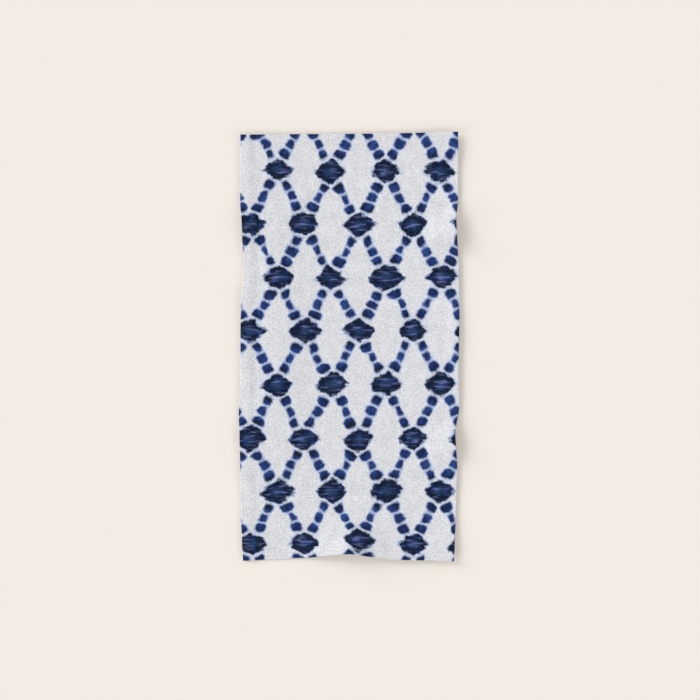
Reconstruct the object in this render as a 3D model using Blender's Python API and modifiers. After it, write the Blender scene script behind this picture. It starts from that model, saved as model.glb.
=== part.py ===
"""A printed terry bath towel, laid out flat with its printed face up.

The towel is one sheet of cloth. It lies flat on the surface at z = 0, except where it rises
gently to its rim with a low roll along each long side, where soft folds lift its edges, and
where a low swell and a few small creases run along it. Its length runs along Y, and the end
with the large fold in its hem is at -Y.

Each flat point of the cloth is moved to where it lies by tables: how each edge is drawn in
and raised along its length, how the long sides roll, and where each fold rises.
"""
from collections import namedtuple
import math

import bmesh
import bpy
from mathutils import Vector

MM = 0.001

# Driving dimensions, in millimetres.
WIDTH = 711.0
LENGTH = 1397.0
THICKNESS = 3.0
CELL = 17.0

# How far in from an edge its shift sideways is felt, and how far in each rim's lift starts.
SHIFT_REACH = 170.0
SIDE_LIFT = 250.0
BOTTOM_LIFT = 66.0
TOP_LIFT = 70.0

PRINTED_COTTON = (0.45, 0.49, 0.60, 1.0)
TERRY_ROUGHNESS = 0.95

# An edge's table says, at each place along it, how far it is drawn in and how far its rim
# is raised. Where drawn_in is below zero the edge is pushed out. Left and right are read
# along Y, top and bottom along X.
Rim = namedtuple("Rim", "along drawn_in raised")
LEFT_EDGE = (
    Rim(along=-698, drawn_in=8, raised=1.5),
    Rim(along=-640, drawn_in=5, raised=4.5),
    Rim(along=-560, drawn_in=2, raised=1.5),
    Rim(along=-500, drawn_in=1, raised=1.5),
    Rim(along=-400, drawn_in=-1, raised=3.5),
    Rim(along=-290, drawn_in=-3, raised=6.5),
    Rim(along=-222, drawn_in=-6, raised=2.5),
    Rim(along=-110, drawn_in=0, raised=3.5),
    Rim(along=60, drawn_in=0, raised=4.5),
    Rim(along=150, drawn_in=2, raised=5.5),
    Rim(along=268, drawn_in=10, raised=1.5),
    Rim(along=385, drawn_in=5, raised=10.5),
    Rim(along=481, drawn_in=-1, raised=4.5),
    Rim(along=698, drawn_in=0, raised=3.5),
)
RIGHT_EDGE = (
    Rim(along=-698, drawn_in=14, raised=6),
    Rim(along=-650, drawn_in=12, raised=8),
    Rim(along=-549, drawn_in=8, raised=2),
    Rim(along=-500, drawn_in=6, raised=2),
    Rim(along=-402, drawn_in=3, raised=4),
    Rim(along=-285, drawn_in=10, raised=3),
    Rim(along=-193, drawn_in=-3, raised=4),
    Rim(along=-75, drawn_in=-1, raised=6),
    Rim(along=100, drawn_in=-4, raised=2),
    Rim(along=240, drawn_in=-3, raised=4),
    Rim(along=410, drawn_in=7, raised=4),
    Rim(along=490, drawn_in=0, raised=3),
    Rim(along=575, drawn_in=0, raised=3),
    Rim(along=664, drawn_in=0, raised=9),
    Rim(along=698, drawn_in=1, raised=9),
)
TOP_EDGE = (
    Rim(along=-355, drawn_in=4, raised=6),
    Rim(along=-100, drawn_in=2, raised=5),
    Rim(along=100, drawn_in=1, raised=8),
    Rim(along=200, drawn_in=-1, raised=8),
    Rim(along=300, drawn_in=-4, raised=9),
    Rim(along=355, drawn_in=-5, raised=5),
)
BOTTOM_EDGE = (
    Rim(along=-355, drawn_in=1, raised=2),
    Rim(along=-250, drawn_in=5, raised=1),
    Rim(along=-160, drawn_in=10, raised=3),
    Rim(along=3, drawn_in=26, raised=10),
    Rim(along=80, drawn_in=15, raised=18),
    Rim(along=150, drawn_in=5, raised=16),
    Rim(along=250, drawn_in=3, raised=11),
    Rim(along=355, drawn_in=0, raised=7),
)

# A low roll runs along each long side. From its crest it falls to the flat cloth at its
# reach, and between its crest and the edge it drops by edge_drop.
Roll = namedtuple("Roll", "peak crest reach edge_drop")
LEFT_ROLL = Roll(peak=2.7, crest=26.0, reach=52.0, edge_drop=2.0)
RIGHT_ROLL = Roll(peak=3.0, crest=1.0, reach=52.0, edge_drop=0.0)

# A fold is a ridge along the line from its root to its tip. It is highest at its crest, a
# share of the way along that line, so a fold that opens at an edge has its crest at 0.
Fold = namedtuple("Fold", "name root tip root_width tip_width peak crest")
FOLDS = (
    Fold("right edge, upper wave", (372, 388), (192, 354), 86, 66, 27, 0.0),
    Fold("right edge, lower wave", (372, -306), (186, -342), 80, 62, 22, 0.0),
    Fold("right edge, middle lift", (372, 70), (270, 62), 130, 90, 4, 0.0),
    Fold("bottom hem, sharp fold", (10, -715), (40, -470), 78, 44, 15, 0.0),
    Fold("bottom hem, broad fold", (-34, -715), (-20, -520), 132, 90, 15, 0.0),
    Fold("bottom hem, small ripple", (88, -700), (70, -575), 42, 32, 3, 0.35),
    Fold("left edge, upper wave", (-372, 396), (-285, 380), 70, 48, 3, 0.0),
    Fold("left edge, middle wave", (-372, 150), (-290, 166), 62, 44, 3, 0.0),
    Fold("left edge, lower wave", (-372, -292), (-300, -298), 70, 50, 2, 0.0),
    Fold("left side, long swell", (-215, 650), (-215, -650), 105, 95, 5, 0.5),
    Fold("left crease", (-287, 290), (-236, 140), 26, 22, 5, 0.35),
    Fold("upper left ripple", (-240, 430), (-98, 526), 28, 26, 5, 0.5),
    Fold("upper middle ripple", (74, 488), (172, 514), 32, 28, 4, 0.5),
)


def smooth_step(share):
    """Rise from 0 to 1, level at both ends, and stay at the end values outside them."""
    share = min(max(share, 0.0), 1.0)
    return share * share * (3.0 - 2.0 * share)


def read_rim(edge, along):
    """Read how far an edge is drawn in and raised at one place, easing between rows."""
    if along <= edge[0].along:
        return edge[0].drawn_in, edge[0].raised
    for before, after in zip(edge, edge[1:]):
        if along <= after.along:
            share = smooth_step((along - before.along) / (after.along - before.along))
            drawn_in = before.drawn_in + share * (after.drawn_in - before.drawn_in)
            raised = before.raised + share * (after.raised - before.raised)
            return drawn_in, raised
    return edge[-1].drawn_in, edge[-1].raised


def roll_height(roll, inset):
    """Give the height of the low roll along a long side, at one distance in from its edge."""
    fall = smooth_step((roll.reach - inset) / (roll.reach - roll.crest))
    drop = max(1.0 - inset / roll.crest, 0.0) ** 2
    return roll.peak * fall - roll.edge_drop * drop


def fold_height(fold, x, y):
    """Give the height that one fold lifts the flat cloth point (x, y) to."""
    run_x = fold.tip[0] - fold.root[0]
    run_y = fold.tip[1] - fold.root[1]
    run = math.hypot(run_x, run_y)
    offset_x = x - fold.root[0]
    offset_y = y - fold.root[1]
    along = (offset_x * run_x + offset_y * run_y) / (run * run)
    across = abs(offset_x * run_y - offset_y * run_x) / run
    share = min(max(along, 0.0), 1.0)
    half_width = fold.root_width + share * (fold.tip_width - fold.root_width)
    side = max(1.0 - (across / half_width) ** 2, 0.0) ** 2
    if fold.crest > 0.0 and along < fold.crest:
        rise = smooth_step(along / fold.crest)
    else:
        rise = smooth_step((1.0 - along) / (1.0 - fold.crest))
    return fold.peak * side * rise


def laid_point(x, y):
    """Move a flat cloth point to where the cloth's underside lies, in millimetres."""
    sides = (
        (LEFT_EDGE, y, x + WIDTH / 2, Vector((1, 0)), SIDE_LIFT),
        (RIGHT_EDGE, y, WIDTH / 2 - x, Vector((-1, 0)), SIDE_LIFT),
        (BOTTOM_EDGE, x, y + LENGTH / 2, Vector((0, 1)), BOTTOM_LIFT),
        (TOP_EDGE, x, LENGTH / 2 - y, Vector((0, -1)), TOP_LIFT),
    )
    place = Vector((x, y))
    lift = 0.0
    for edge, along, inset, inward, reach in sides:
        drawn_in, raised = read_rim(edge, along)
        place += inward * drawn_in * (1.0 - smooth_step(inset / SHIFT_REACH))
        lift = math.hypot(lift, raised * smooth_step(1.0 - inset / reach))
    height = lift + sum(fold_height(fold, x, y) for fold in FOLDS)
    height += roll_height(LEFT_ROLL, x + WIDTH / 2) + roll_height(RIGHT_ROLL, WIDTH / 2 - x)
    return Vector((place.x, place.y, height))


def centre_over_origin(mesh):
    """Move the sheet sideways so that the origin lies under the middle of its outline."""
    xs = [vertex.co.x for vertex in mesh.verts]
    ys = [vertex.co.y for vertex in mesh.verts]
    middle = Vector(((min(xs) + max(xs)) / 2, (min(ys) + max(ys)) / 2, 0.0))
    bmesh.ops.translate(mesh, verts=mesh.verts, vec=-middle)


def make_material():
    """Make the plain colour of the towel as seen from far off."""
    material = bpy.data.materials.new("printed_terry")
    material.use_nodes = True
    surface = material.node_tree.nodes["Principled BSDF"]
    surface.inputs["Base Color"].default_value = PRINTED_COTTON
    surface.inputs["Roughness"].default_value = TERRY_ROUGHNESS
    surface.inputs["Metallic"].default_value = 0.0
    return material


def make_towel(collection):
    """Lay a grid over the cloth, move it into its folds, and give it its thickness."""
    grid = bmesh.new()
    bmesh.ops.create_grid(
        grid,
        x_segments=round(WIDTH / CELL),
        y_segments=round(LENGTH / CELL),
        size=0.5,
    )
    for vertex in grid.verts:
        vertex.co = laid_point(vertex.co.x * WIDTH, vertex.co.y * LENGTH) * MM
    centre_over_origin(grid)

    mesh = bpy.data.meshes.new("towel")
    grid.to_mesh(mesh)
    grid.free()
    mesh.shade_smooth()
    mesh.materials.append(make_material())

    towel = bpy.data.objects.new("towel", mesh)
    collection.objects.link(towel)
    cloth = towel.modifiers.new("cloth thickness", "SOLIDIFY")
    cloth.thickness = THICKNESS * MM
    cloth.offset = 1.0
    cloth.use_rim = True
    return towel


def clear_scene():
    """Remove the objects that the scene starts with."""
    for old in list(bpy.data.objects):
        bpy.data.objects.remove(old, do_unlink=True)


def main():
    clear_scene()
    collection = bpy.data.collections.new("bath towel")
    bpy.context.scene.collection.children.link(collection)
    make_towel(collection)


main()
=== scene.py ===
"""A printed terry bath towel, laid out face up: its cloth, hem and sewing, light and camera.

Every piece is first made flat, in the cloth's own millimetres: across its width, along its
length, and up through its thickness. It is then laid, which moves it into the folds.
"""
from collections import namedtuple
import math

import bmesh
import bpy
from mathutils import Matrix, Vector
import numpy as np


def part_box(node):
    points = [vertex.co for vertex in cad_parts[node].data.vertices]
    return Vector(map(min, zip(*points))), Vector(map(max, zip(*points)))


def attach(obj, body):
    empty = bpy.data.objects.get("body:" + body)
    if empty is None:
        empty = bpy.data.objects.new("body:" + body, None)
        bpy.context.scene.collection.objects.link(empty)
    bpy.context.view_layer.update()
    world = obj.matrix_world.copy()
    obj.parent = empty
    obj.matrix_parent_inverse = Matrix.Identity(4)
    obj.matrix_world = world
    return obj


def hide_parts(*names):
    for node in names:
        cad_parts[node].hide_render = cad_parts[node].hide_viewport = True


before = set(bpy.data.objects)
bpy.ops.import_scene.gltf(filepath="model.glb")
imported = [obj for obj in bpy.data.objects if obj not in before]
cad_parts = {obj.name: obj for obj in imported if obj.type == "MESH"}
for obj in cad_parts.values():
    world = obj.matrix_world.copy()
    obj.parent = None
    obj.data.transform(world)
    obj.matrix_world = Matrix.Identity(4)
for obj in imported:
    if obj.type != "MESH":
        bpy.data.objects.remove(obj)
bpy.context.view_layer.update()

MM = 0.001

# The cloth, as it was cut and hemmed.
WIDTH = 711.0
LENGTH = 1397.0
THICKNESS = 3.0

# How far in from an edge its shift sideways is felt, and how far in each rim's lift starts.
SHIFT_REACH = 170.0
SIDE_LIFT = 250.0
BOTTOM_LIFT = 66.0
TOP_LIFT = 70.0

# Sides of the grid cells of the face and of the back, and how far in the face's grid starts.
FACE_CELL = 3.45
BACK_CELL = 5.2
FACE_MARGIN = 1.5

# The hem is turned under, and sewn down a little way in from the edge, along a grid row. It
# is a little fuller than the cloth, and the seam is drawn into it.
HEM_WIDTH = 11.5
HEM_SEAM = FACE_MARGIN + 2 * FACE_CELL
HEM_FULLNESS = 0.35
SEAM_DEPTH = 0.5
SEAM_HALF_WIDTH = 1.5

# The stitches, how far each turns (in radians) and wanders by chance, and how high in the
# cloth each side's lie. On the face they stand a little above the seam's floor.
STITCH_LENGTH = 2.9
STITCH_PITCH = 3.5
STITCH_RADIUS = 0.36
STITCH_TURN = 0.05
STITCH_WANDER = 0.10
STITCH_STAND = 0.2
FACE_STITCH_HEIGHT = THICKNESS - SEAM_DEPTH + STITCH_STAND
BACK_STITCH_HEIGHT = 0.30

# How high in the cloth the back lies, and how far it runs in under the turned hem.
BACK_HEIGHT = 0.42
BACK_TUCK = 2.0

# How wide the whole picture is at the towel, and where its middle falls from the towel's
# middle, both in metres.
VIEW_WIDTH = 2.289
AIM = (0.003, -0.0115)
CAMERA_LENS = 85.0
CAMERA_SENSOR = 36.0

# An edge's table says, at each place along it, how far it is drawn in and how far its rim
# is raised. Where drawn_in is below zero the edge is pushed out. Left and right are read
# along the length, top and bottom across the width.
Rim = namedtuple("Rim", "along drawn_in raised")
LEFT_EDGE = (
    Rim(along=-698, drawn_in=8, raised=1.5),
    Rim(along=-640, drawn_in=5, raised=4.5),
    Rim(along=-560, drawn_in=2, raised=1.5),
    Rim(along=-500, drawn_in=1, raised=1.5),
    Rim(along=-400, drawn_in=-1, raised=3.5),
    Rim(along=-290, drawn_in=-3, raised=6.5),
    Rim(along=-222, drawn_in=-6, raised=2.5),
    Rim(along=-110, drawn_in=0, raised=3.5),
    Rim(along=60, drawn_in=0, raised=4.5),
    Rim(along=150, drawn_in=2, raised=5.5),
    Rim(along=268, drawn_in=10, raised=1.5),
    Rim(along=385, drawn_in=5, raised=10.5),
    Rim(along=481, drawn_in=-1, raised=4.5),
    Rim(along=698, drawn_in=0, raised=3.5),
)
RIGHT_EDGE = (
    Rim(along=-698, drawn_in=14, raised=6),
    Rim(along=-650, drawn_in=12, raised=8),
    Rim(along=-549, drawn_in=8, raised=2),
    Rim(along=-500, drawn_in=6, raised=2),
    Rim(along=-402, drawn_in=3, raised=4),
    Rim(along=-285, drawn_in=10, raised=3),
    Rim(along=-193, drawn_in=-3, raised=4),
    Rim(along=-75, drawn_in=-1, raised=6),
    Rim(along=100, drawn_in=-4, raised=2),
    Rim(along=240, drawn_in=-3, raised=4),
    Rim(along=410, drawn_in=7, raised=4),
    Rim(along=490, drawn_in=0, raised=3),
    Rim(along=575, drawn_in=0, raised=3),
    Rim(along=664, drawn_in=0, raised=9),
    Rim(along=698, drawn_in=1, raised=9),
)
TOP_EDGE = (
    Rim(along=-355, drawn_in=4, raised=6),
    Rim(along=-100, drawn_in=2, raised=5),
    Rim(along=100, drawn_in=1, raised=8),
    Rim(along=200, drawn_in=-1, raised=8),
    Rim(along=300, drawn_in=-4, raised=9),
    Rim(along=355, drawn_in=-5, raised=5),
)
BOTTOM_EDGE = (
    Rim(along=-355, drawn_in=1, raised=2),
    Rim(along=-250, drawn_in=5, raised=1),
    Rim(along=-160, drawn_in=10, raised=3),
    Rim(along=3, drawn_in=26, raised=10),
    Rim(along=80, drawn_in=15, raised=18),
    Rim(along=150, drawn_in=5, raised=16),
    Rim(along=250, drawn_in=3, raised=11),
    Rim(along=355, drawn_in=0, raised=7),
)

# A low roll runs along each long side. From its crest it falls to the flat cloth at its
# reach, and between its crest and the edge it drops by edge_drop.
Roll = namedtuple("Roll", "peak crest reach edge_drop")
LEFT_ROLL = Roll(peak=2.7, crest=26.0, reach=52.0, edge_drop=2.0)
RIGHT_ROLL = Roll(peak=3.0, crest=1.0, reach=52.0, edge_drop=0.0)

# A fold is a ridge along the line from its root to its tip. It is highest at its crest, a
# share of the way along that line, so a fold that opens at an edge has its crest at 0.
Fold = namedtuple("Fold", "name root tip root_width tip_width peak crest")
FOLDS = (
    Fold("right edge, upper wave", (372, 388), (192, 354), 86, 66, 27, 0.0),
    Fold("right edge, lower wave", (372, -306), (186, -342), 80, 62, 22, 0.0),
    Fold("right edge, middle lift", (372, 70), (270, 62), 130, 90, 4, 0.0),
    Fold("bottom hem, sharp fold", (10, -715), (40, -470), 78, 44, 15, 0.0),
    Fold("bottom hem, broad fold", (-34, -715), (-20, -520), 132, 90, 15, 0.0),
    Fold("bottom hem, small ripple", (88, -700), (70, -575), 42, 32, 3, 0.35),
    Fold("left edge, upper wave", (-372, 396), (-285, 380), 70, 48, 3, 0.0),
    Fold("left edge, middle wave", (-372, 150), (-290, 166), 62, 44, 3, 0.0),
    Fold("left edge, lower wave", (-372, -292), (-300, -298), 70, 50, 2, 0.0),
    Fold("left side, long swell", (-215, 650), (-215, -650), 105, 95, 5, 0.5),
    Fold("left crease", (-287, 290), (-236, 140), 26, 22, 5, 0.35),
    Fold("upper left ripple", (-240, 430), (-98, 526), 28, 26, 5, 0.5),
    Fold("upper middle ripple", (74, 488), (172, 514), 32, 28, 4, 0.5),
)

# Steps of the turned edge, from the face round to the back: how far in from the edge each
# row lies, and how high up in the cloth.
Turn = namedtuple("Turn", "inset height")
EDGE_TURN = (
    Turn(inset=0.70, height=2.75),
    Turn(inset=0.20, height=2.25),
    Turn(inset=0.00, height=1.50),
    Turn(inset=0.20, height=0.75),
    Turn(inset=0.80, height=0.22),
    Turn(inset=2.20, height=0.05),
    Turn(inset=6.00, height=0.10),
    Turn(inset=8.40, height=0.45),
    Turn(inset=10.20, height=0.08),
    Turn(inset=11.30, height=0.30),
    Turn(inset=11.60, height=1.20),
)

# Layers of unevenness in the cloth: how high the hills of each are, how wide and long, and
# the seed of their random heights.
Layer = namedtuple("Layer", "height width length seed")
FACE_LAYERS = (
    Layer(height=0.34, width=3.45, length=7.0, seed=1),
    Layer(height=0.30, width=7.0, length=10.0, seed=2),
    Layer(height=0.22, width=22.0, length=34.0, seed=3),
    Layer(height=0.32, width=75.0, length=110.0, seed=4),
)
HEM_PUCKER = Layer(height=0.22, width=9.0, length=9.0, seed=5)
BACK_LAYERS = (
    Layer(height=0.16, width=5.5, length=8.0, seed=11),
    Layer(height=0.14, width=20.0, length=30.0, seed=12),
)
# How far in from the seam the pile takes to reach its full height.
PILE_RISE = 4.0


def smooth_step(share):
    """Rise from 0 to 1, level at both ends, and stay at the end values outside them."""
    share = np.clip(share, 0.0, 1.0)
    return share * share * (3.0 - 2.0 * share)


def read_rim(edge, along):
    """Read how far an edge is drawn in and raised at each place, easing between rows."""
    places, drawn_in, raised = np.array(edge, dtype=float).T
    row = np.clip(np.searchsorted(places, along) - 1, 0, len(places) - 2)
    share = smooth_step((along - places[row]) / (places[row + 1] - places[row]))
    return (
        drawn_in[row] + share * (drawn_in[row + 1] - drawn_in[row]),
        raised[row] + share * (raised[row + 1] - raised[row]),
    )


def roll_height(roll, inset):
    """Give the height of the low roll along a long side, at each distance in from its edge."""
    fall = smooth_step((roll.reach - inset) / (roll.reach - roll.crest))
    drop = np.clip(1.0 - inset / roll.crest, 0.0, None) ** 2
    return roll.peak * fall - roll.edge_drop * drop


def fold_height(fold, across, along):
    """Give the height that one fold lifts each point of the flat cloth to."""
    run_x = fold.tip[0] - fold.root[0]
    run_y = fold.tip[1] - fold.root[1]
    run = math.hypot(run_x, run_y)
    offset_x = across - fold.root[0]
    offset_y = along - fold.root[1]
    share = (offset_x * run_x + offset_y * run_y) / (run * run)
    aside = np.abs(offset_x * run_y - offset_y * run_x) / run
    half_width = fold.root_width + np.clip(share, 0.0, 1.0) * (fold.tip_width - fold.root_width)
    side = np.clip(1.0 - (aside / half_width) ** 2, 0.0, None) ** 2
    rise = smooth_step((1.0 - share) / (1.0 - fold.crest))
    if fold.crest > 0.0:
        rise = np.where(share < fold.crest, smooth_step(share / fold.crest), rise)
    return fold.peak * side * rise


def underside(across, along):
    """Give where the underside of the cloth lies, before it is set over the frame's part."""
    x = np.array(across, dtype=float)
    y = np.array(along, dtype=float)
    lift = np.zeros_like(x)
    sides = (
        (LEFT_EDGE, along, across + WIDTH / 2, (1, 0), SIDE_LIFT),
        (RIGHT_EDGE, along, WIDTH / 2 - across, (-1, 0), SIDE_LIFT),
        (BOTTOM_EDGE, across, along + LENGTH / 2, (0, 1), BOTTOM_LIFT),
        (TOP_EDGE, across, LENGTH / 2 - along, (0, -1), TOP_LIFT),
    )
    for edge, place, inset, inward, reach in sides:
        drawn_in, raised = read_rim(edge, place)
        shift = drawn_in * (1.0 - smooth_step(inset / SHIFT_REACH))
        x += inward[0] * shift
        y += inward[1] * shift
        lift = np.hypot(lift, raised * smooth_step(1.0 - inset / reach))
    z = lift + sum(fold_height(fold, across, along) for fold in FOLDS)
    z += roll_height(LEFT_ROLL, across + WIDTH / 2) + roll_height(RIGHT_ROLL, WIDTH / 2 - across)
    return np.stack([x, y, z], axis=-1)


def outline_middle():
    """Give the middle of the laid outline's box, in the tables' millimetres."""
    across = np.linspace(-WIDTH / 2, WIDTH / 2, num=400)
    along = np.linspace(-LENGTH / 2, LENGTH / 2, num=800)
    edges = np.concatenate([
        underside(across, np.full_like(across, -LENGTH / 2)),
        underside(across, np.full_like(across, LENGTH / 2)),
        underside(np.full_like(along, -WIDTH / 2), along),
        underside(np.full_like(along, WIDTH / 2), along),
    ])
    return (edges.min(axis=0) + edges.max(axis=0)) / 2


def frame_shift():
    """Give the sideways move that sets the laid cloth over the frame's part."""
    low, high = (np.array(corner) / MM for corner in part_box("towel"))
    shift = (low + high) / 2 - outline_middle()
    shift[2] = 0.0
    return shift


FRAME_SHIFT = frame_shift()


def laid(flat):
    """Move points of the flat cloth, each with its height in it, to where they lie."""
    across, along, height = flat.T
    step = 1.0
    ground = underside(across, along)
    run_across = underside(across + step, along) - underside(across - step, along)
    run_along = underside(across, along + step) - underside(across, along - step)
    up = np.cross(run_across, run_along)
    up /= np.linalg.norm(up, axis=1, keepdims=True)
    return ground + up * height[:, None] + FRAME_SHIFT


def soft_noise(across, along, cell_across, cell_along, seed):
    """Give smooth random heights from -1 to 1, with one hill or hollow to each cell."""
    size = 512
    heights = np.random.default_rng(seed).uniform(-1.0, 1.0, (size, size))
    column = across / cell_across + size / 2
    row = along / cell_along + size / 2
    left = np.floor(column).astype(int)
    low = np.floor(row).astype(int)
    share_x = smooth_step(column - left)
    share_y = smooth_step(row - low)
    left, right = left % size, (left + 1) % size
    low, high = low % size, (low + 1) % size
    bottom = heights[low, left] * (1 - share_x) + heights[low, right] * share_x
    top = heights[high, left] * (1 - share_x) + heights[high, right] * share_x
    return bottom * (1 - share_y) + top * share_y


def edge_distance(across, along):
    """Give how far each point of the flat cloth is from its nearest edge."""
    return np.minimum(WIDTH / 2 - np.abs(across), LENGTH / 2 - np.abs(along))


def layer_height(layer, across, along):
    """Give the height of one layer of unevenness at each point of the flat cloth."""
    return layer.height * soft_noise(across, along, layer.width, layer.length, layer.seed)


def face_relief(across, along):
    """Give how far the face stands above or below the cloth's even thickness."""
    inset = edge_distance(across, along)
    pile = smooth_step((inset - HEM_SEAM) / PILE_RISE)
    loops = sum(layer_height(layer, across, along) for layer in FACE_LAYERS)
    seam = -SEAM_DEPTH * np.exp(-((inset - HEM_SEAM) / SEAM_HALF_WIDTH) ** 2)
    hem = HEM_FULLNESS * smooth_step((HEM_SEAM - inset) / (2 * SEAM_HALF_WIDTH))
    pucker = layer_height(HEM_PUCKER, across, along) * (1.0 - pile)
    return pile * loops + seam + hem + pucker


def back_relief(across, along):
    """Give how far the back's pile stands up into or out of the cloth's underside."""
    return sum(layer_height(layer, across, along) for layer in BACK_LAYERS)


def read_points(mesh):
    """Read a mesh's points as an array with one row for each."""
    points = np.empty(len(mesh.vertices) * 3)
    mesh.vertices.foreach_get("co", points)
    return points.reshape(-1, 3)


def write_points(mesh, points):
    """Put the rows of an array back as a mesh's points."""
    mesh.vertices.foreach_set("co", points.ravel())
    mesh.update()


def write_map(mesh, name, places):
    """Give a mesh a UV map from one pair of numbers for each of its points."""
    corners = np.empty(len(mesh.loops), dtype=np.int32)
    mesh.loops.foreach_get("vertex_index", corners)
    layer = mesh.uv_layers.new(name=name)
    layer.uv.foreach_set("vector", places[corners].astype(np.float32).ravel())


def lay_mesh(mesh):
    """Keep a flat mesh's places on the cloth as maps, then move it into the folds."""
    flat = read_points(mesh)
    write_map(mesh, "cloth", flat[:, :2] * MM)
    height = mesh.attributes.new("height", "FLOAT", "POINT")
    height.data.foreach_set("value", flat[:, 2] * MM)
    write_points(mesh, laid(flat) * MM)
    mesh.shade_smooth()


def new_piece(name, mesh, material):
    """Put a mesh in the scene as a piece of the towel."""
    mesh.materials.append(material)
    piece = bpy.data.objects.new(name, mesh)
    bpy.context.scene.collection.objects.link(piece)
    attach(piece, "root")
    return piece


def flat_grid(width, length, cell, height):
    """Make a flat grid over the cloth's middle, at one height in it."""
    grid = bmesh.new()
    bmesh.ops.create_grid(
        grid,
        x_segments=round(width / cell),
        y_segments=round(length / cell),
        size=0.5,
    )
    bmesh.ops.scale(grid, verts=grid.verts, vec=(width, length, 1.0))
    bmesh.ops.translate(grid, verts=grid.verts, vec=(0.0, 0.0, height))
    return grid


def add_turned_edge(grid):
    """Carry the grid's rim round the cloth's edge and in under it, as the hem is turned."""
    rim = [edge for edge in grid.edges if edge.is_boundary]
    rim_half_width = max(vertex.co.x for vertex in grid.verts)
    rim_half_length = max(vertex.co.y for vertex in grid.verts)
    for turn in EDGE_TURN:
        made = bmesh.ops.extrude_edge_only(grid, edges=rim)["geom"]
        rim = [part for part in made if isinstance(part, bmesh.types.BMEdge)]
        half_width = WIDTH / 2 - turn.inset
        half_length = LENGTH / 2 - turn.inset
        for vertex in (part for part in made if isinstance(part, bmesh.types.BMVert)):
            vertex.co.x *= half_width / rim_half_width
            vertex.co.y *= half_length / rim_half_length
            vertex.co.z = turn.height
        rim_half_width = half_width
        rim_half_length = half_length


def make_face(material):
    """Make the printed face, with its pile, round its edge and as far as the turned hem."""
    width = WIDTH - 2 * FACE_MARGIN
    length = LENGTH - 2 * FACE_MARGIN
    grid = flat_grid(width, length, FACE_CELL, THICKNESS)
    add_turned_edge(grid)
    bmesh.ops.recalc_face_normals(grid, faces=grid.faces)
    mesh = bpy.data.meshes.new("towel_face")
    grid.to_mesh(mesh)
    grid.free()

    flat = read_points(mesh)
    rim_height = EDGE_TURN[0].height
    on_face = smooth_step((flat[:, 2] - rim_height) / (THICKNESS - rim_height))
    flat[:, 2] += on_face * face_relief(flat[:, 0], flat[:, 1])
    write_points(mesh, flat)
    lay_mesh(mesh)
    return new_piece("towel_face", mesh, material)


def make_back(material):
    """Make the plain looped back, which runs in under the turned hem."""
    inset = HEM_WIDTH - BACK_TUCK
    grid = flat_grid(WIDTH - 2 * inset, LENGTH - 2 * inset, BACK_CELL, BACK_HEIGHT)
    bmesh.ops.reverse_faces(grid, faces=grid.faces)
    mesh = bpy.data.meshes.new("towel_back")
    grid.to_mesh(mesh)
    grid.free()

    flat = read_points(mesh)
    flat[:, 2] += back_relief(flat[:, 0], flat[:, 1])
    write_points(mesh, flat)
    lay_mesh(mesh)
    return new_piece("towel_back", mesh, material)


def seam_places():
    """List the middle of each stitch round the hem, and which way the stitch runs."""
    half_width = WIDTH / 2 - HEM_SEAM
    half_length = LENGTH / 2 - HEM_SEAM
    across = np.arange(-half_width + STITCH_PITCH, half_width - STITCH_PITCH, STITCH_PITCH)
    along = np.arange(-half_length + STITCH_PITCH, half_length - STITCH_PITCH, STITCH_PITCH)
    places = []
    for side in (-1.0, 1.0):
        places += [(x, side * half_length, 0.0) for x in across]
        places += [(side * half_width, y, math.pi / 2) for y in along]
    return places


def make_stitches(name, height, seed, material):
    """Make one side's sewing: a row of short threads that dive into the cloth at each end."""
    shape = bmesh.new()
    bmesh.ops.create_uvsphere(shape, u_segments=6, v_segments=5, radius=1.0)
    on_side = Vector((0, 0, 1)).rotation_difference(Vector((1, 0, 0))).to_matrix()
    bmesh.ops.rotate(shape, verts=shape.verts, cent=(0, 0, 0), matrix=on_side)
    unit = bpy.data.meshes.new("one_stitch")
    shape.to_mesh(unit)
    shape.free()
    points = read_points(unit) * (STITCH_LENGTH / 2, STITCH_RADIUS, STITCH_RADIUS)

    random = np.random.default_rng(seed)
    thread = bmesh.new()
    for x, y, turned in seam_places():
        angle = turned + random.normal(0.0, STITCH_TURN)
        wander = random.normal(0.0, STITCH_WANDER)
        start = len(thread.verts)
        thread.from_mesh(unit)
        thread.verts.ensure_lookup_table()
        cosine = math.cos(angle)
        sine = math.sin(angle)
        for vertex, (along, aside, up) in zip(thread.verts[start:], points):
            aside += wander
            vertex.co = (
                x + along * cosine - aside * sine,
                y + along * sine + aside * cosine,
                height + up,
            )
    mesh = bpy.data.meshes.new(name)
    thread.to_mesh(mesh)
    thread.free()
    bpy.data.meshes.remove(unit)
    lay_mesh(mesh)
    return new_piece(name, mesh, material)


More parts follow.
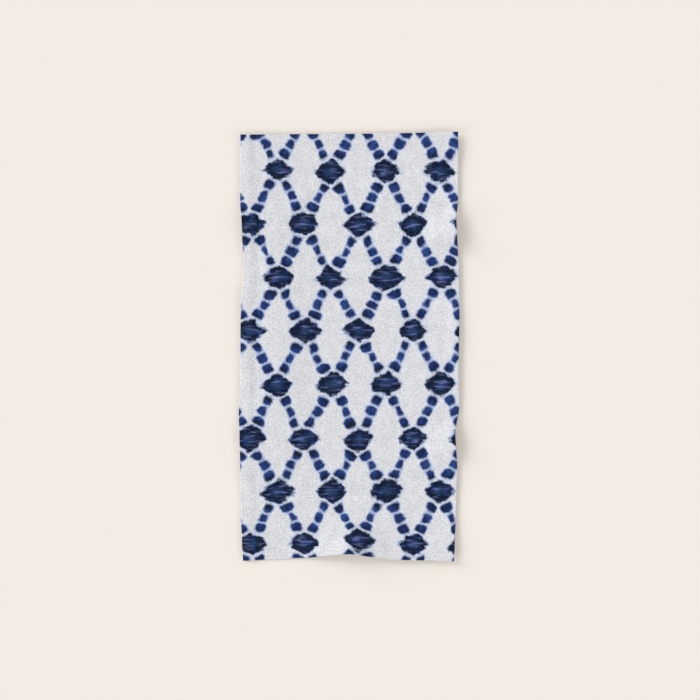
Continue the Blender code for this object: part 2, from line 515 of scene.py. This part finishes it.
class Term:
    """A value in a material's nodes that can be added, multiplied and so on."""

    def __init__(self, tree, socket):
        self.tree = tree
        self.socket = socket

    def maths(self, operation, *others):
        """Work out a new value from this one and any others, by one of the maths nodes."""
        node = self.tree.nodes.new("ShaderNodeMath")
        node.operation = operation
        self.tree.links.new(self.socket, node.inputs[0])
        for other, place in zip(others, node.inputs[1:]):
            set_input(self.tree, place, other)
        return Term(self.tree, node.outputs[0])

    def __add__(self, other):
        return self.maths("ADD", other)

    __radd__ = __add__

    def __sub__(self, other):
        return self.maths("SUBTRACT", other)

    def __rsub__(self, other):
        return self.maths("MULTIPLY_ADD", -1.0, other)

    def __mul__(self, other):
        return self.maths("MULTIPLY", other)

    __rmul__ = __mul__

    def __truediv__(self, other):
        return self.maths("DIVIDE", other)

    def __abs__(self):
        return self.maths("ABSOLUTE")

    def at_least(self, other):
        return self.maths("MAXIMUM", other)

    def at_most(self, other):
        return self.maths("MINIMUM", other)

    def rounded(self):
        return self.maths("ROUND")

    def wrapped(self, period):
        """Fold the value into one period, from minus half of it to half of it."""
        return self.maths("WRAP", period / 2, -period / 2)

    def eased(self, start, end):
        """Rise from 0 at start to 1 at end, smoothly. Start may be the larger."""
        node = self.tree.nodes.new("ShaderNodeMapRange")
        node.interpolation_type = "SMOOTHSTEP"
        self.tree.links.new(self.socket, node.inputs["Value"])
        node.inputs["From Min"].default_value = start
        node.inputs["From Max"].default_value = end
        return Term(self.tree, node.outputs["Result"])


def set_input(tree, place, value):
    """Give a node's input a value, a term or a socket to read."""
    if isinstance(value, Term):
        tree.links.new(value.socket, place)
    elif isinstance(value, bpy.types.NodeSocket):
        tree.links.new(value, place)
    else:
        place.default_value = value


def length_of(first, second):
    """Give the length of the flat vector with these two terms."""
    return (first * first + second * second).maths("SQRT")


def vector_of(tree, x, y, z=0.0):
    """Join three values or terms into a vector."""
    node = tree.nodes.new("ShaderNodeCombineXYZ")
    for place, value in zip(node.inputs, (x, y, z)):
        set_input(tree, place, value)
    return node.outputs[0]


# A grain is smooth noise in a material: the size of its cells across and along the cloth, in
# millimetres, its seed, and how many octaves of finer noise are in it.
Grain = namedtuple("Grain", "across along seed detail", defaults=[2.0])


def noise_of(tree, across, along, grain):
    """Give a grain's noise, from 0 to 1."""
    node = tree.nodes.new("ShaderNodeTexNoise")
    place = vector_of(tree, across / grain.across, along / grain.along, grain.seed)
    tree.links.new(place, node.inputs["Vector"])
    node.inputs["Scale"].default_value = 1.0
    node.inputs["Detail"].default_value = grain.detail
    return Term(tree, node.outputs["Fac"])


def chance_of(tree, first, second, seed):
    """Give one random number from 0 to 1 for each pair of whole numbers."""
    node = tree.nodes.new("ShaderNodeTexWhiteNoise")
    tree.links.new(vector_of(tree, first, second, seed), node.inputs["Vector"])
    return Term(tree, node.outputs["Value"])


def cloth_place(tree):
    """Read where a point is on the flat cloth, in millimetres across and along."""
    node = tree.nodes.new("ShaderNodeUVMap")
    node.uv_map = "cloth"
    parts = tree.nodes.new("ShaderNodeSeparateXYZ")
    tree.links.new(node.outputs["UV"], parts.inputs[0])
    return Term(tree, parts.outputs["X"]) / MM, Term(tree, parts.outputs["Y"]) / MM


# The print is a made-up one in the manner of stitched and bound resist dyeing. Chains of dabs
# run slantwise both ways and part the cloth into tall diamonds, and a bound blot lies where
# the chains cross. The offset moves all of it.
DIAMOND_WIDTH = WIDTH / 4
DIAMOND_LENGTH = LENGTH / 4
PRINT_OFFSET = (31.0, 52.0)
CHAIN_RUN = math.hypot(DIAMOND_WIDTH, DIAMOND_LENGTH)
SLANT_ACROSS = DIAMOND_LENGTH / CHAIN_RUN
SLANT_ALONG = DIAMOND_WIDTH / CHAIN_RUN
CHAIN_SPACING = DIAMOND_WIDTH * SLANT_ACROSS
CROSSING_PITCH = CHAIN_RUN / 2
CROSSING_LAG = CROSSING_PITCH * (SLANT_ACROSS ** 2 - SLANT_ALONG ** 2)

# Three dabs stand between two crossings. A dab is 0 to 1 in size, which adds to its least half
# width and half length. It is wider near the blots, and at one end where it leans. It may lie
# a little to one side, and its ends round off.
DABS_BETWEEN = 3
DAB_PITCH = 37.0
DAB_CORNER = 10.0
DAB_HALF_WIDTH = 10.0
DAB_ADDED_WIDTH = 7.5
DAB_HALF_LENGTH = 15.6
DAB_ADDED_LENGTH = 1.4
DAB_WIDENING = 0.09
DAB_TAPER = 0.35
DAB_ROUNDING = 0.12
DAB_SIDESTEP = 7.0

BLOT_HALF_LENGTH = 39.0
BLOT_STRETCH = 0.78
BLOT_ROUNDNESS = 1.4

# Steps between the random numbers of neighbouring chains, of a dab's size and its lean, of
# rows of crossings, of the two sets of crossings, and of the noise of neighbouring blots.
CHAIN_STEP = 7.0
LEAN_STEP = 20.0
ROW_STEP = 9.0
SET_STEP = 4.0
BLOT_STEP = 3.7

# A grain that moves the print, and its reach: how far apart the furthest moves one way and
# the other way are.
Wander = namedtuple("Wander", "grain reach")
BROAD_WANDER = Wander(Grain(across=115.0, along=150.0, seed=1.0), reach=34.0)
SMALL_WANDER = Wander(Grain(across=26.0, along=34.0, seed=2.0), reach=11.0)
FIBRES = Wander(Grain(across=2.6, along=9.0, seed=5.0, detail=1.0), reach=5.0)
RAGGED_EDGE = Wander(Grain(across=8.0, along=11.0, seed=6.0), reach=7.0)


def wander_of(tree, across, along, wander):
    """Give how far a wander moves the print at each place."""
    return (noise_of(tree, across, along, wander.grain) - 0.5) * wander.reach


def warped(tree, across, along, wander):
    """Move a place about both ways, so that what is drawn there wanders."""
    grain = wander.grain
    upward = wander._replace(grain=grain._replace(seed=grain.seed + 0.5))
    return (
        across + wander_of(tree, across, along, wander),
        along + wander_of(tree, across, along, upward),
    )


def chain_distance(tree, across, along, seed):
    """Give the distances from one slanted family of dabs, and from its unbroken strips."""
    offset = across * SLANT_ACROSS - along * SLANT_ALONG
    run = across * SLANT_ALONG + along * SLANT_ACROSS
    line = (offset / CHAIN_SPACING).rounded()
    along_chain = run + line * CROSSING_LAG + CROSSING_PITCH / 2
    stretch = (along_chain / CROSSING_PITCH).rounded()
    from_middle = along_chain - stretch * CROSSING_PITCH
    place = (from_middle / DAB_PITCH).rounded()
    ahead = from_middle - place * DAB_PITCH
    within = abs(ahead).eased(DAB_PITCH / 2, DAB_PITCH / 4)
    number = place + line * CHAIN_STEP
    size = (chance_of(tree, number, stretch, seed) - 0.5) * within + 0.5
    lean = (chance_of(tree, number, stretch, seed + LEAN_STEP) - 0.5) * within
    aside = abs(offset.wrapped(CHAIN_SPACING) - lean * DAB_SIDESTEP)
    from_middle = abs(from_middle)

    width_here = from_middle * DAB_WIDENING + size * DAB_ADDED_WIDTH + DAB_HALF_WIDTH
    half_width = width_here + ahead * lean * DAB_TAPER
    half_length = size * DAB_ADDED_LENGTH - aside * DAB_ROUNDING + DAB_HALF_LENGTH
    out = aside - half_width + DAB_CORNER
    beyond = abs(ahead) - half_length + DAB_CORNER
    outside = length_of(out.at_least(0.0), beyond.at_least(0.0))
    dab = outside + out.at_least(beyond).at_most(0.0) - DAB_CORNER
    stop = from_middle - DAB_PITCH * DABS_BETWEEN / 2
    return dab.at_least(stop), (aside - half_width).at_least(stop)


def blot_distance(tree, aside, ahead, crossing):
    """Give the distances from the rim and from the middle of a bound blot."""
    wide = (abs(aside) * BLOT_STRETCH).maths("POWER", BLOT_ROUNDNESS)
    tall = abs(ahead).maths("POWER", BLOT_ROUNDNESS)
    radius = (wide + tall).maths("POWER", 1.0 / BLOT_ROUNDNESS)
    lobes = Wander(Grain(across=26.0, along=20.0, seed=crossing * BLOT_STEP), reach=30.0)
    return radius - wander_of(tree, aside, ahead, lobes) - BLOT_HALF_LENGTH, radius


def print_distances(tree, across, along):
    """Give the distances from the nearest dye, the nearest tinted ground and blot's middle."""
    x, y = warped(tree, across, along, BROAD_WANDER)
    x, y = warped(tree, x, y, SMALL_WANDER)
    x = x - PRINT_OFFSET[0]
    y = y - PRINT_OFFSET[1]
    rising, rising_strip = chain_distance(tree, x, y, seed=11.0)
    falling, falling_strip = chain_distance(tree, x * -1.0, y, seed=12.0)

    crossing = (x / DIAMOND_WIDTH).rounded() + (y / DIAMOND_LENGTH).rounded() * ROW_STEP
    aside = x.wrapped(DIAMOND_WIDTH)
    ahead = y.wrapped(DIAMOND_LENGTH)
    half_aside = (x + DIAMOND_WIDTH / 2).wrapped(DIAMOND_WIDTH)
    half_ahead = (y + DIAMOND_LENGTH / 2).wrapped(DIAMOND_LENGTH)
    first, first_radius = blot_distance(tree, aside, ahead, crossing)
    second, second_radius = blot_distance(tree, half_aside, half_ahead, crossing + SET_STEP)
    from_blot = first_radius.at_most(second_radius)

    shapes = rising.at_most(falling).at_most(first).at_most(second)
    tinted = rising_strip.at_most(falling_strip).at_most(from_blot - BLOT_HALF_LENGTH)
    fibres = wander_of(tree, across, along, FIBRES)
    ragged = wander_of(tree, across, along, RAGGED_EDGE)
    return shapes + fibres + ragged, tinted + fibres, from_blot + ragged


def colour_of(red, green, blue):
    """Turn a screen colour from 0 to 255 into the linear colour that a shader takes."""
    def linear(part):
        part /= 255.0
        return part / 12.92 if part <= 0.04045 else ((part + 0.055) / 1.055) ** 2.4
    return (linear(red), linear(green), linear(blue), 1.0)


def mixed(tree, share, first, second):
    """Mix two colours by a share from 0 to 1."""
    node = tree.nodes.new("ShaderNodeMix")
    node.data_type = "RGBA"
    set_input(tree, node.inputs["Factor"], share)
    colours = [place for place in node.inputs if place.type == "RGBA"]
    set_input(tree, colours[0], first)
    set_input(tree, colours[1], second)
    return next(out for out in node.outputs if out.type == "RGBA")


def ramp_of(tree, share, stops):
    """Colour a share from 0 to 1 by a list of places and screen colours."""
    node = tree.nodes.new("ShaderNodeValToRGB")
    set_input(tree, node.inputs["Fac"], share)
    elements = node.color_ramp.elements
    while len(elements) < len(stops):
        elements.new(0.5)
    for element, (place, colour) in zip(elements, stops):
        element.position = place
        element.color = colour_of(*colour)
    return node.outputs["Color"]


# How wide and long a loop's head is on the cloth, in millimetres, how softly it joins the next,
# and over which part of its height the colour runs from painted shade between the loops to a
# painted highlight on their tops.
LOOP_WIDTH = 1.7
LOOP_LENGTH = 2.5
LOOP_SOFTNESS = 0.35
LOOP_PAINTED_SHADE = (0.35, 0.80)

# Depths of the loops on the face and on the back, and of the thread's twist, in metres.
FACE_LOOP_DEPTH = 0.0007
BACK_LOOP_DEPTH = 0.0009
TWIST_DEPTH = 0.0001

LOOP_CLOUDS = Grain(across=26.0, along=40.0, seed=21.0)
LOOP_TUFTS = Grain(across=6.5, along=9.0, seed=22.0)
LOOP_FLECKS = Grain(across=3.6, along=4.8, seed=23.0, detail=0.0)
DYE_STREAKS = Grain(across=2.4, along=14.0, seed=31.0, detail=3.0)
DYE_CLOUDS = Grain(across=22.0, along=30.0, seed=32.0)
DYE_VEINS = Grain(across=46.0, along=9.0, seed=33.0)
THREAD_TWIST = Grain(across=0.35, along=1.2, seed=41.0)

GREY_LOOPS = colour_of(202, 203, 208)
WHITE_LOOPS = colour_of(239, 239, 243)
GREY_THREAD = colour_of(208, 210, 218)
WHITE_THREAD = colour_of(244, 245, 249)

# The dye from its darkest tone to its palest, and the colours that lie over and round it.
DYE_TONES = (
    (0.00, (4, 13, 28)),
    (0.30, (9, 22, 42)),
    (0.60, (21, 40, 84)),
    (0.85, (34, 53, 110)),
    (1.00, (44, 72, 132)),
)
GLOW_COLOUR = colour_of(60, 96, 150)
VEIN_COLOUR = colour_of(134, 142, 206)
DYED_YARN_COLOUR = colour_of(92, 108, 154)
HALO_COLOUR = colour_of(194, 210, 244)
WASH_COLOUR = colour_of(156, 180, 230)

# Where each of them starts and is full, in millimetres: the glow, the veins and the paler dye
# from a blot's middle, the halo and the dye from the dye's outline, and the wash from the
# outline of the tinted ground. Last comes how high in the cloth the print starts.
GLOW_EDGE = (26.0, 2.0)
VEIN_EDGE = (46.0, 12.0)
PALER_DYE_EDGE = (34.0, 84.0)
HALO_EDGE = (9.0, 0.0)
DYE_EDGE = (4.4, -4.8)
WASH_EDGE = (3.0, -4.0)
PRINT_START = (0.9, 2.0)

COTTON_ROUGHNESS = 0.95
COTTON_SHEEN = 0.01
THREAD_ROUGHNESS = 0.7
THREAD_SHEEN = 0.05
SPECULAR_LEVEL = 0.02
SHEEN_ROUGHNESS = 0.55
SHEEN_TINT = (0.93, 0.95, 1.0, 1.0)


def loops_height(tree, across, along):
    """Give the height of the pile's loop heads, from 0 between them to 1 on top."""
    cells = tree.nodes.new("ShaderNodeTexVoronoi")
    cells.feature = "SMOOTH_F1"
    cells.inputs["Scale"].default_value = 1.0
    cells.inputs["Smoothness"].default_value = LOOP_SOFTNESS
    place = vector_of(tree, across / LOOP_WIDTH, along / LOOP_LENGTH)
    tree.links.new(place, cells.inputs["Vector"])
    return 1.0 - Term(tree, cells.outputs["Distance"])


def new_material(name, roughness, sheen):
    """Start a cotton material, and give it back with its tree and its surface."""
    material = bpy.data.materials.new(name)
    material.use_nodes = True
    tree = material.node_tree
    surface = tree.nodes["Principled BSDF"]
    surface.inputs["Roughness"].default_value = roughness
    surface.inputs["Specular IOR Level"].default_value = SPECULAR_LEVEL
    surface.inputs["Sheen Weight"].default_value = sheen
    surface.inputs["Sheen Roughness"].default_value = SHEEN_ROUGHNESS
    surface.inputs["Sheen Tint"].default_value = SHEEN_TINT
    return material, tree, surface


def join_bump(tree, surface, height, depth):
    """Raise the surface by a height term, depth metres from 0 to 1."""
    bump = tree.nodes.new("ShaderNodeBump")
    bump.inputs["Strength"].default_value = 1.0
    bump.inputs["Distance"].default_value = depth
    tree.links.new(height.socket, bump.inputs["Height"])
    tree.links.new(bump.outputs["Normal"], surface.inputs["Normal"])


def loop_tone(tree, across, along):
    """Give how pale the pile's loops and tufts are, from 0 to 1."""
    cloud = noise_of(tree, across, along, LOOP_CLOUDS)
    tufts = noise_of(tree, across, along, LOOP_TUFTS)
    fleck = noise_of(tree, across, along, LOOP_FLECKS)
    return (cloud * 0.22 + tufts * 0.33 + fleck * 0.45).eased(0.32, 0.68)


def white_cotton(tree, tone):
    """Colour undyed cotton: a cool white, with paler and greyer loops, from their random tone
    and from the painted shade between them.
    """
    return mixed(tree, tone, GREY_LOOPS, WHITE_LOOPS)


def printed_colour(tree, across, along, tone_of_yarn, cotton):
    """Colour cotton by the resist-dyed print, which is a little paler on the paler yarns, and on
    the face also on the loop tops that carry painted highlight.
    """
    shapes, tinted_ground, from_blot = print_distances(tree, across, along)
    streak = noise_of(tree, across, along, DYE_STREAKS)
    cloud = noise_of(tree, across, along, DYE_CLOUDS)
    away = from_blot.eased(*PALER_DYE_EDGE)
    tone = (cloud * 0.62 + streak * 0.20 + away * 0.18).eased(0.26, 0.70)
    dye = ramp_of(tree, tone, DYE_TONES)
    glow = from_blot.eased(*GLOW_EDGE) * (cloud * 0.5 + 0.1)
    dye = mixed(tree, glow, dye, GLOW_COLOUR)
    vein = noise_of(tree, across, along, DYE_VEINS).eased(0.50, 0.70)
    dye = mixed(tree, vein * from_blot.eased(*VEIN_EDGE) * 0.52, dye, VEIN_COLOUR)
    dye = mixed(tree, tone_of_yarn * 0.09, dye, DYED_YARN_COLOUR)
    halo = shapes.eased(*HALO_EDGE) * (cloud * 0.5 + 0.30)
    wash = tinted_ground.eased(*WASH_EDGE) * (cloud * 0.6 + 0.20)
    soaked = shapes.eased(*DYE_EDGE) * (cloud * 0.06 + 0.97)
    pale = mixed(tree, halo, cotton, HALO_COLOUR)
    washed = mixed(tree, wash, pale, WASH_COLOUR)
    return mixed(tree, soaked.at_most(1.0), washed, dye)


def make_printed_terry():
    """Make the face's cotton pile with its print, which ends where the edge turns under."""
    material, tree, surface = new_material("printed_terry", COTTON_ROUGHNESS, COTTON_SHEEN)
    across, along = cloth_place(tree)
    heads = loops_height(tree, across, along)
    # The pile's colour is greyer between the loop heads and paler on their tops: painted shade
    # and painted highlight over the loops' random tone.
    tone = loop_tone(tree, across, along) + heads.eased(*LOOP_PAINTED_SHADE) * 0.30 - 0.10
    dyed = printed_colour(tree, across, along, tone, white_cotton(tree, tone))

    height_node = tree.nodes.new("ShaderNodeAttribute")
    height_node.attribute_name = "height"
    printed = (Term(tree, height_node.outputs["Fac"]) / MM).eased(*PRINT_START)
    colour = mixed(tree, printed, white_cotton(tree, tone), dyed)
    tree.links.new(colour, surface.inputs["Base Color"])

    join_bump(tree, surface, heads, FACE_LOOP_DEPTH)
    return material


def make_plain_terry():
    """Make the back's undyed cotton pile."""
    material, tree, surface = new_material("plain_terry", COTTON_ROUGHNESS, COTTON_SHEEN)
    across, along = cloth_place(tree)
    heads = loops_height(tree, across, along)
    # The back's colour is greyer between the loop heads and paler on their tops: painted shade
    # and painted highlight over the loops' random tone.
    tone = loop_tone(tree, across, along) * 0.35 + heads.eased(*LOOP_PAINTED_SHADE) * 0.45 + 0.15
    tree.links.new(white_cotton(tree, tone), surface.inputs["Base Color"])
    join_bump(tree, surface, heads, BACK_LOOP_DEPTH)
    return material


def make_thread(name, printed):
    """Make white sewing thread, with or without the print over it."""
    material, tree, surface = new_material(name, THREAD_ROUGHNESS, THREAD_SHEEN)
    across, along = cloth_place(tree)
    twist = noise_of(tree, across + along, across - along, THREAD_TWIST)
    colour = mixed(tree, twist, GREY_THREAD, WHITE_THREAD)
    if printed:
        colour = printed_colour(tree, across, along, twist, colour)
    tree.links.new(colour, surface.inputs["Base Color"])
    join_bump(tree, surface, twist, TWIST_DEPTH)
    return material


# The floor's half side, and how far below the towel it lies, in metres.
FLOOR_HALF_SIDE = 100.0
FLOOR_DROP = 0.0004
FLOOR_COLOUR = colour_of(243, 236, 228)


def make_floor():
    """Make the plain pale floor that the towel lies on."""
    mesh = bpy.data.meshes.new("floor")
    grid = bmesh.new()
    bmesh.ops.create_grid(grid, x_segments=1, y_segments=1, size=FLOOR_HALF_SIDE)
    grid.to_mesh(mesh)
    grid.free()
    floor = bpy.data.objects.new("floor", mesh)
    floor.location.z = -FLOOR_DROP
    bpy.context.scene.collection.objects.link(floor)
    material = bpy.data.materials.new("pale_floor")
    material.use_nodes = True
    surface = material.node_tree.nodes["Principled BSDF"]
    surface.inputs["Base Color"].default_value = FLOOR_COLOUR
    surface.inputs["Roughness"].default_value = 1.0
    surface.inputs["Specular IOR Level"].default_value = 0.0
    mesh.materials.append(material)


# Each broad light's share of all the light on the floor, the side that it comes from, how
# high up it stands and how wide it looks, in degrees. Turned is 0 for the left, 90 for the
# top and 180 for the right. What is left over comes evenly from all round.
Lamp = namedtuple("Lamp", "name share turned up width")
LAMPS = (
    Lamp("upper_left_light", share=0.23, turned=34.0, up=22.0, width=30.0),
    Lamp("lower_left_light", share=0.11, turned=-34.0, up=22.0, width=30.0),
    Lamp("lower_right_light", share=0.09, turned=-146.0, up=22.0, width=30.0),
    Lamp("upper_right_light", share=0.04, turned=146.0, up=22.0, width=30.0),
    Lamp("overhead_light", share=0.13, turned=0.0, up=90.0, width=90.0),
)
# The share of the floor's light that comes from the pale strip above the horizon alone, and
# how high up the strip starts to fade and ends, from 0 at the horizon to 1 overhead.
HORIZON_SHARE = 0.0055
HORIZON_FADE = (0.06, 0.16)


def make_lamp(lamp):
    """Make one broad light that gives its share of the light on the floor."""
    up = math.radians(lamp.up)
    turned = math.radians(lamp.turned)
    towards = Vector((
        math.cos(turned) * math.cos(up),
        -math.sin(turned) * math.cos(up),
        -math.sin(up),
    ))
    data = bpy.data.lights.new(lamp.name, "SUN")
    data.energy = lamp.share * math.pi / math.sin(up)
    data.angle = math.radians(lamp.width)
    light = bpy.data.objects.new(lamp.name, data)
    light.rotation_mode = "QUATERNION"
    light.rotation_quaternion = towards.to_track_quat("-Z", "Y")
    bpy.context.scene.collection.objects.link(light)


def make_light():
    """Make the broad lights, and even light from all round for the rest.

    Just above the horizon the room has the floor's colour, so that the floor runs on into it.
    """
    for lamp in LAMPS:
        make_lamp(lamp)
    world = bpy.data.worlds.new("soft_room")
    bpy.context.scene.world = world
    world.use_nodes = True
    tree = world.node_tree
    direction = tree.nodes.new("ShaderNodeTexCoord")
    parts = tree.nodes.new("ShaderNodeSeparateXYZ")
    tree.links.new(direction.outputs["Generated"], parts.inputs[0])
    rest = 1.0 - HORIZON_SHARE - sum(lamp.share for lamp in LAMPS)
    above = Term(tree, parts.outputs["Z"]).eased(*HORIZON_FADE)
    room = mixed(tree, above, FLOOR_COLOUR, (rest, rest, rest, 1.0))
    tree.links.new(room, tree.nodes["Background"].inputs["Color"])


def make_camera():
    """Make the camera, straight above the towel with its length up the picture."""
    low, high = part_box("towel")
    data = bpy.data.cameras.new("camera")
    data.lens = CAMERA_LENS
    data.sensor_width = CAMERA_SENSOR
    camera = bpy.data.objects.new("camera", data)
    height = VIEW_WIDTH * CAMERA_LENS / CAMERA_SENSOR
    middle = (low + high) / 2
    camera.location = (middle.x + AIM[0], middle.y + AIM[1], height)
    bpy.context.scene.collection.objects.link(camera)
    bpy.context.scene.camera = camera


def main():
    bpy.context.scene.view_settings.view_transform = "Standard"
    make_camera()
    make_floor()
    make_light()
    face = make_face(make_printed_terry())
    back = make_back(make_plain_terry())
    # The cloth was printed after it was hemmed, so the print runs over the face's sewing too.
    top_thread = make_stitches(
        "hem_stitches_face", FACE_STITCH_HEIGHT, seed=51,
        material=make_thread("printed_thread", printed=True),
    )
    under_thread = make_stitches(
        "hem_stitches_back", BACK_STITCH_HEIGHT, seed=52,
        material=make_thread("white_thread", printed=False),
    )
    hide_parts("towel")


main()
